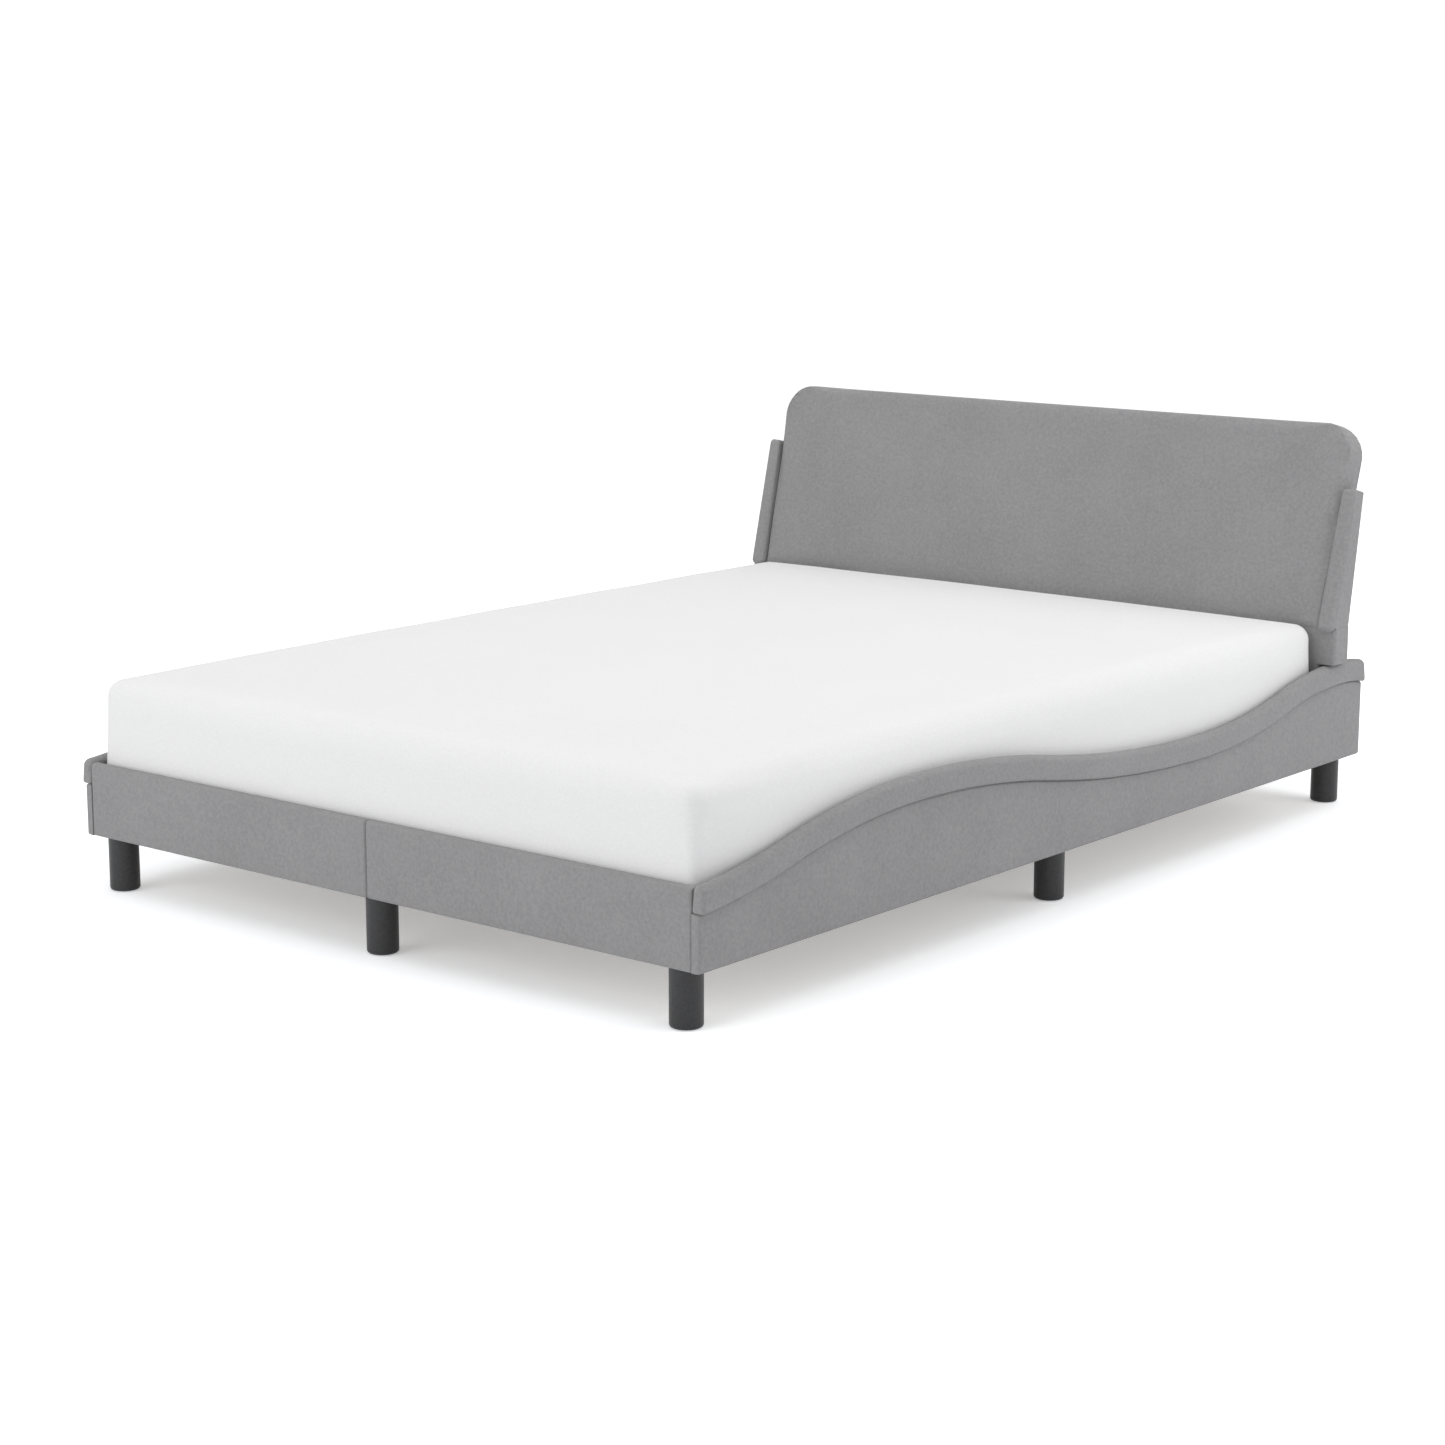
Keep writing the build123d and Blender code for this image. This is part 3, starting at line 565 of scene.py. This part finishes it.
def makeCrossPanels():
    for node, name, inside in (
        ("footboard_cover_left", "footboard_left", 1),
        ("footboard_cover_right", "footboard_right", 1),
        ("head_rail_cover", "head_rail", -1),
    ):
        low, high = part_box(node)
        radii = crossLook["radii"] if inside > 0 else crossLook["radii"][::-1]
        tray = {"axis": 1, "side": inside, "rim": crossLook["rim"], "depth": crossLook["depth"]}
        points, quads = paddedBlock(low, high, 1, radii, crossLook["step"], crossLook["puff"], tray)
        piece = makePiece({**crossLook, "name": name, "nodes": (node,)}, points, quads, upholstery)


makeCrossPanels()
print("footboard and head rail made")

# Headboard's upright part: a padded tray open to the back, narrower below its shoulders, cut flat on top
lowerLook = {
    "name": "headboard_lower", "slot": "upholstery", "body": "frame", "nodes": ("headboard_lower_cover",),
    "radii": (0.008, 0.001), "step": 0.02, "puff": (0, 0.0005, 0), "rim": 0.005, "depth": 0.0182,
    "shoulder": 0.302, "shoulderRound": 0.0015, "shoulderLines": (0, 0.15, 0.4, 0.7, 1), "lowHalf": 0.6985,
    "fill": 0.9,
}


def makeLowerHeadboard(look):
    low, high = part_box("headboard_lower_cover")
    tray = {"axis": 1, "side": 1, "rim": look["rim"], "depth": look["depth"]}
    steps = np.array(look["shoulderLines"]) * look["shoulderRound"]
    cuts = ((), (), tuple(look["shoulder"] + steps))
    taller = (high.x, high.y, high.z + look["radii"][0])
    points, quads = paddedBlock(low, taller, 1, look["radii"], look["step"], look["puff"], tray, cuts)
    points[:, 2] = cutFlat(points[:, 2], high.z, 1)
    above = np.clip((points[:, 2] - look["shoulder"]) / look["shoulderRound"], 0, 1)
    rounded = high.x - look["shoulderRound"] * (1 - np.sqrt(1 - (1 - above) ** 2))
    half = np.where(points[:, 2] > look["shoulder"], rounded, look["lowHalf"])
    points[:, 0] *= half / high.x
    piece = makePiece(look, points, quads, upholstery)


makeLowerHeadboard(lowerLook)

# Raked backrest: x across, s up the slope, n out of its front
rakeLook = {
    "rake": math.radians(14), "face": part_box("headboard_lower_cover")[0].y,
    "knee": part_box("headboard_lower_cover")[1].z, "slope": 0.406, "half": 0.6955, "widening": 0.009 / 0.276,
    "corner": 0.071, "thickness": 0.048,
}


# From the slope to the bed: a turn by the rake about the knee line
def fromRaked(points):
    x, s, n = points.T
    sine, cosine = math.sin(rakeLook["rake"]), math.cos(rakeLook["rake"])
    y = rakeLook["face"] + s * sine - n * cosine
    z = rakeLook["knee"] + s * cosine + n * sine
    return np.stack([x, y, z], 1)


# Backrest outline: the sides widen with the slope, each top corner's square is mapped onto a quarter disc,
# and the lower edge is sheared level
def shapeBackrest(points):
    x, s, n = points.T.copy()
    half, slope, corner = rakeLook["half"], rakeLook["slope"], rakeLook["corner"]
    u = np.clip((np.abs(x) - half + corner) / corner, 0, 1)
    v = np.clip((s - slope + corner) / corner, 0, 1)
    inCorner = (u > 0) & (v > 0)
    newX = np.sign(x) * (half - corner + corner * u * np.sqrt(1 - v**2 / 2))
    newS = slope - corner + corner * v * np.sqrt(1 - u**2 / 2)
    x = np.where(inCorner, newX, x)
    s = np.where(inCorner, newS, s)
    x *= 1 + rakeLook["widening"] * s / half
    s += -n * math.tan(rakeLook["rake"]) * (1 - s / slope)
    return np.stack([x, s, n], 1)


backrestLook = {
    "name": "backrest", "slot": "upholstery", "body": "frame", "nodes": ("backrest_pad",),
    "radii": (0.0015, 0.007), "step": 0.014, "front": 0.001, "crown": 0.002, "rim": 0.010, "depth": 0.0182,
    "lumps": 0.0008, "lumpLength": 0.35, "fill": 0.85, "mass": 0.3, "pressure": 0.3, "frames": 20,
    "cap": (0.002, 0.004, 0.004), "pinDepth": 0.026, "pinHeight": 0.002,
}


def makeBackrest(look):
    half, slope = rakeLook["half"], rakeLook["slope"]
    tray = {"axis": 2, "side": -1, "rim": look["rim"], "depth": look["depth"]}
    points, quads = paddedBlock(
        (-half, -look["radii"][1], -rakeLook["thickness"]), (half, slope, look["front"]), 2, look["radii"],
        look["step"], (0, 0, look["crown"]), tray,
    )
    points = unevenness(points, look["lumps"], look["lumpLength"], 2)
    points[:, 1] = cutFlat(points[:, 1], 0, -1)
    points[:, 2] = np.maximum(points[:, 2], -rakeLook["thickness"])
    piece = makePiece(look, fromRaked(shapeBackrest(points)), quads, upholstery)
    atBack = points[:, 2] < look["pinDepth"] - rakeLook["thickness"]
    stuff(piece, atBack | (points[:, 1] < look["pinHeight"]), look)


makeBackrest(backrestLook)

# Dust cloth behind the backrest: a thin sheet on its outline
dustLook = {
    "name": "backrest_dust_cloth", "slot": "dust_cloth", "body": "frame", "nodes": ("backrest_back_cover",),
    "radii": (0.0004, 0.0004), "step": 0.02, "thickness": 0.0012,
}


def makeDustCloth(look):
    half, slope, back = rakeLook["half"], rakeLook["slope"], rakeLook["thickness"]
    points, quads = paddedBlock(
        (-half, 0, -back - look["thickness"]), (half, slope, -back), 2, look["radii"], look["step"]
    )
    points = fromRaked(shapeBackrest(points))
    piece = makePiece(look, points, quads, dustCloth)


makeDustCloth(dustLook)

# Wings: padded slabs beside the backrest. The section runs between a raked front line and a steeper rear
# line. A round lip hangs in front of the upright part, and behind it the lower edge is cut flat. The inside
# follows the backrest's side, and the front turns a little outwards.
wingLook = {
    "slot": "upholstery", "body": "frame", "radii": (0.010, 0.003), "step": 0.008,
    "puff": (0.0006, 0.0015, 0.001),
    "half": 0.733, "width": 0.037, "slope": 0.276, "drop": 0.005, "proud": 0.0085, "topDepth": 0.028,
    "footDepth": 0.053, "gap": 0.0005, "stepWidth": 0.003, "cutWidth": 0.001, "bevel": 0.005, "fill": 0.9,
}


def makeWings(look):
    sine, cosine = math.sin(rakeLook["rake"]), math.cos(rakeLook["rake"])
    face, knee = rakeLook["face"], rakeLook["knee"]
    lipSlope = (-look["drop"] - look["proud"] * sine) / cosine
    frontFoot = face + lipSlope * sine - look["proud"] * cosine
    tops = np.array([(0, look["slope"], look["proud"]), (0, look["slope"], -look["topDepth"])])
    (frontTopY, frontTopZ), (rearTopY, rearTopZ) = fromRaked(tops)[:, 1:]
    height = frontTopZ - knee + look["drop"]
    reach = face + look["footDepth"] - frontFoot
    stepCut = face - look["gap"] - look["stepWidth"] / 2
    edge = look["radii"][0]
    low = np.array((look["half"] - look["width"], frontFoot, 0.0))
    high = np.array((look["half"], face + look["footDepth"], height))
    points, quads = paddedBlock(
        low - (0, 0, edge), high, 1, look["radii"], look["step"], look["puff"], None,
        ((), (stepCut, stepCut + look["cutWidth"]), (0,)),
    )
    across, back, up = ((points - low) / (high - low)).T
    footY = frontFoot + back * reach
    lip = 1 - smoothStep((footY - face + look["gap"] + look["stepWidth"]) / look["stepWidth"])
    footZ = knee + (edge - look["drop"]) * lip
    up = np.where(lip > 0.5, up, cutFlat(up * height, 0, -1) / height)
    topY = frontTopY + back * (rearTopY - frontTopY)
    topZ = frontTopZ + back * (rearTopZ - frontTopZ)
    y = footY + up * (topY - footY)
    z = footZ + up * (topZ - footZ)
    y += look["bevel"] * (across - 0.5) * (1 - back)
    inside = look["half"] - look["width"] + rakeLook["widening"] * (z - knee) / cosine
    x = inside + across * (look["half"] - inside)
    right = np.stack([x, y, z], 1)
    for side in ("right", "left"):
        shape = (right, quads) if side == "right" else mirrorX(right, quads)
        wing = {**look, "name": f"wing_{side}", "nodes": (f"wing_cover_{side}",)}
        makePiece(wing, *shape, upholstery)


makeWings(wingLook)
print("headboard made")

# Slat straps: two webbing ribbons under the slats, sagging a little between them
strapLook = {
    "name": "slat_webbing", "slot": "webbing", "body": "frame", "nodes": ("slat_straps",),
    "width": 0.025, "offset": 0.35, "sag": 0.0015, "held": 0.2, "radii": (0.0004, 0.0004), "step": 0.008,
}


def makeStraps(look):
    low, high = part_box("slat_straps")
    firstSlat, secondSlat = [sum(corner.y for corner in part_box(node)) / 2 for node in ("slat_01", "slat_02")]
    half = look["width"] / 2
    points, quads = paddedBlock(
        (look["offset"] - half, low.y, low.z), (look["offset"] + half, high.y, high.z), 2, look["radii"],
        look["step"],
    )
    turn = (points[:, 1] - firstSlat) / (secondSlat - firstSlat) * math.pi
    points[:, 2] -= look["sag"] * np.clip(np.sin(turn) ** 2 - look["held"], 0, 1)
    other, otherQuads = mirrorX(points, quads)
    allQuads = np.concatenate([quads, otherQuads + len(points)])
    makePiece(look, np.concatenate([points, other]), allQuads, webbing)


makeStraps(strapLook)
print("straps made")

# Floor and light: a pale floor whose glow grows from the bed outwards, so near the bed the floor carries
# painted shade, darker than its light alone makes it, and further off it is white; a soft even sky and three
# large lamps
stageLook = {
    "floorSize": 30, "floorColour": (0.93, 0.94, 0.955), "liftInPaintedShade": 0.325, "liftFar": 0.58,
    "liftColour": (0.985, 1.0, 1.02), "nearDistance": 0.8, "farDistance": 1.9, "sky": 0.48,
}


# Rays that show the pale background: from the camera, and by way of gloss or glass
def backgroundRays(tree):
    rays = tree.nodes.new("ShaderNodeLightPath")
    shown = combine(tree, "MAXIMUM", rays.outputs["Is Camera Ray"], rays.outputs["Is Glossy Ray"])
    return combine(tree, "MAXIMUM", shown, rays.outputs["Is Transmission Ray"])


def makeStage(look):
    size = look["floorSize"]
    mesh = bpy.data.meshes.new("floor")
    corners = [(-size, -size, 0), (size, -size, 0), (size, size, 0), (-size, size, 0)]
    mesh.from_pydata(corners, [], [(0, 1, 2, 3)])
    floor = bpy.data.objects.new("floor", mesh)
    bpy.context.scene.collection.objects.link(floor)
    material = bpy.data.materials.new("paleFloorPaintedShade")
    material.use_nodes = True
    tree = material.node_tree
    tree.nodes.clear()
    diffuse = tree.nodes.new("ShaderNodeBsdfDiffuse")
    diffuse.inputs["Color"].default_value = (*look["floorColour"], 1)
    # The glow lifts the floor to white for camera, gloss and glass rays. It is tinted slightly blue so the
    # painted shade near the bed stays neutral grey
    glow = tree.nodes.new("ShaderNodeEmission")
    glow.inputs["Color"].default_value = (*look["liftColour"], 1)
    coordinate = tree.nodes.new("ShaderNodeTexCoord")
    # Painted shade: the glow is lowest within the near distance of the bed's middle and grows to the full lift
    # at the far distance
    distance = tree.nodes.new("ShaderNodeVectorMath")
    distance.operation = "LENGTH"
    paintedShadeRamp = tree.nodes.new("ShaderNodeMapRange")
    paintedShadeRamp.interpolation_type = "SMOOTHSTEP"
    paintedShadeRamp.inputs["From Min"].default_value = look["nearDistance"]
    paintedShadeRamp.inputs["From Max"].default_value = look["farDistance"]
    paintedShadeRamp.inputs["To Min"].default_value = look["liftInPaintedShade"]
    paintedShadeRamp.inputs["To Max"].default_value = look["liftFar"]
    tree.links.new(coordinate.outputs["Object"], distance.inputs[0])
    tree.links.new(distance.outputs["Value"], paintedShadeRamp.inputs["Value"])
    lift = combine(tree, "MULTIPLY", backgroundRays(tree), paintedShadeRamp.outputs["Result"])
    tree.links.new(lift, glow.inputs["Strength"])
    both = tree.nodes.new("ShaderNodeAddShader")
    tree.links.new(diffuse.outputs["BSDF"], both.inputs[0])
    tree.links.new(glow.outputs["Emission"], both.inputs[1])
    output = tree.nodes.new("ShaderNodeOutputMaterial")
    tree.links.new(both.outputs["Shader"], output.inputs["Surface"])
    mesh.materials.append(material)
    world = bpy.data.worlds.new("softSky")
    bpy.context.scene.world = world
    world.use_nodes = True
    sky = world.node_tree.nodes["Background"]
    seen = combine(world.node_tree, "MAXIMUM", backgroundRays(world.node_tree), look["sky"])
    sky.inputs["Color"].default_value = (1, 1, 1, 1)
    world.node_tree.links.new(seen, sky.inputs["Strength"])


lampLook = {
    "overhead": {"at": (0.4, 0.5, 4.6), "aim": (0.1, 0.3, 0.3), "size": 7.0, "power": 153},
    "front": {"at": (-1.4, -5.6, 2.0), "aim": (0, 0, 0.4), "size": 4.5, "power": 106},
    "side": {"at": (4.0, 1.8, 1.8), "aim": (0.2, 0.9, 0.3), "size": 2.6, "power": 43},
}


def makeLamps(look):
    for name, lamp in look.items():
        data = bpy.data.lights.new(name, "AREA")
        data.size = lamp["size"]
        data.energy = lamp["power"]
        holder = bpy.data.objects.new(name, data)
        bpy.context.scene.collection.objects.link(holder)
        holder.location = lamp["at"]
        toward = np.array(lamp["aim"]) - np.array(lamp["at"])
        flat = math.hypot(toward[0], toward[1])
        holder.rotation_euler = (math.atan2(flat, -toward[2]), 0, math.atan2(-toward[0], toward[1]))


makeStage(stageLook)
makeLamps(lampLook)

# Camera at the photograph's angle
cameraLook = {
    "at": (3.5302, -4.4073, 1.3739), "azimuth": 39.431, "elevation": 11.423, "lens": 75.634, "sensor": 36,
}


def makeCamera(look):
    data = bpy.data.cameras.new("camera")
    data.lens = look["lens"]
    data.sensor_width = look["sensor"]
    camera = bpy.data.objects.new("camera", data)
    bpy.context.scene.collection.objects.link(camera)
    camera.location = look["at"]
    camera.rotation_euler = (math.radians(90 - look["elevation"]), 0, math.radians(look["azimuth"]))
    bpy.context.scene.camera = camera


makeCamera(cameraLook)
bpy.context.scene.view_settings.view_transform = "Standard"
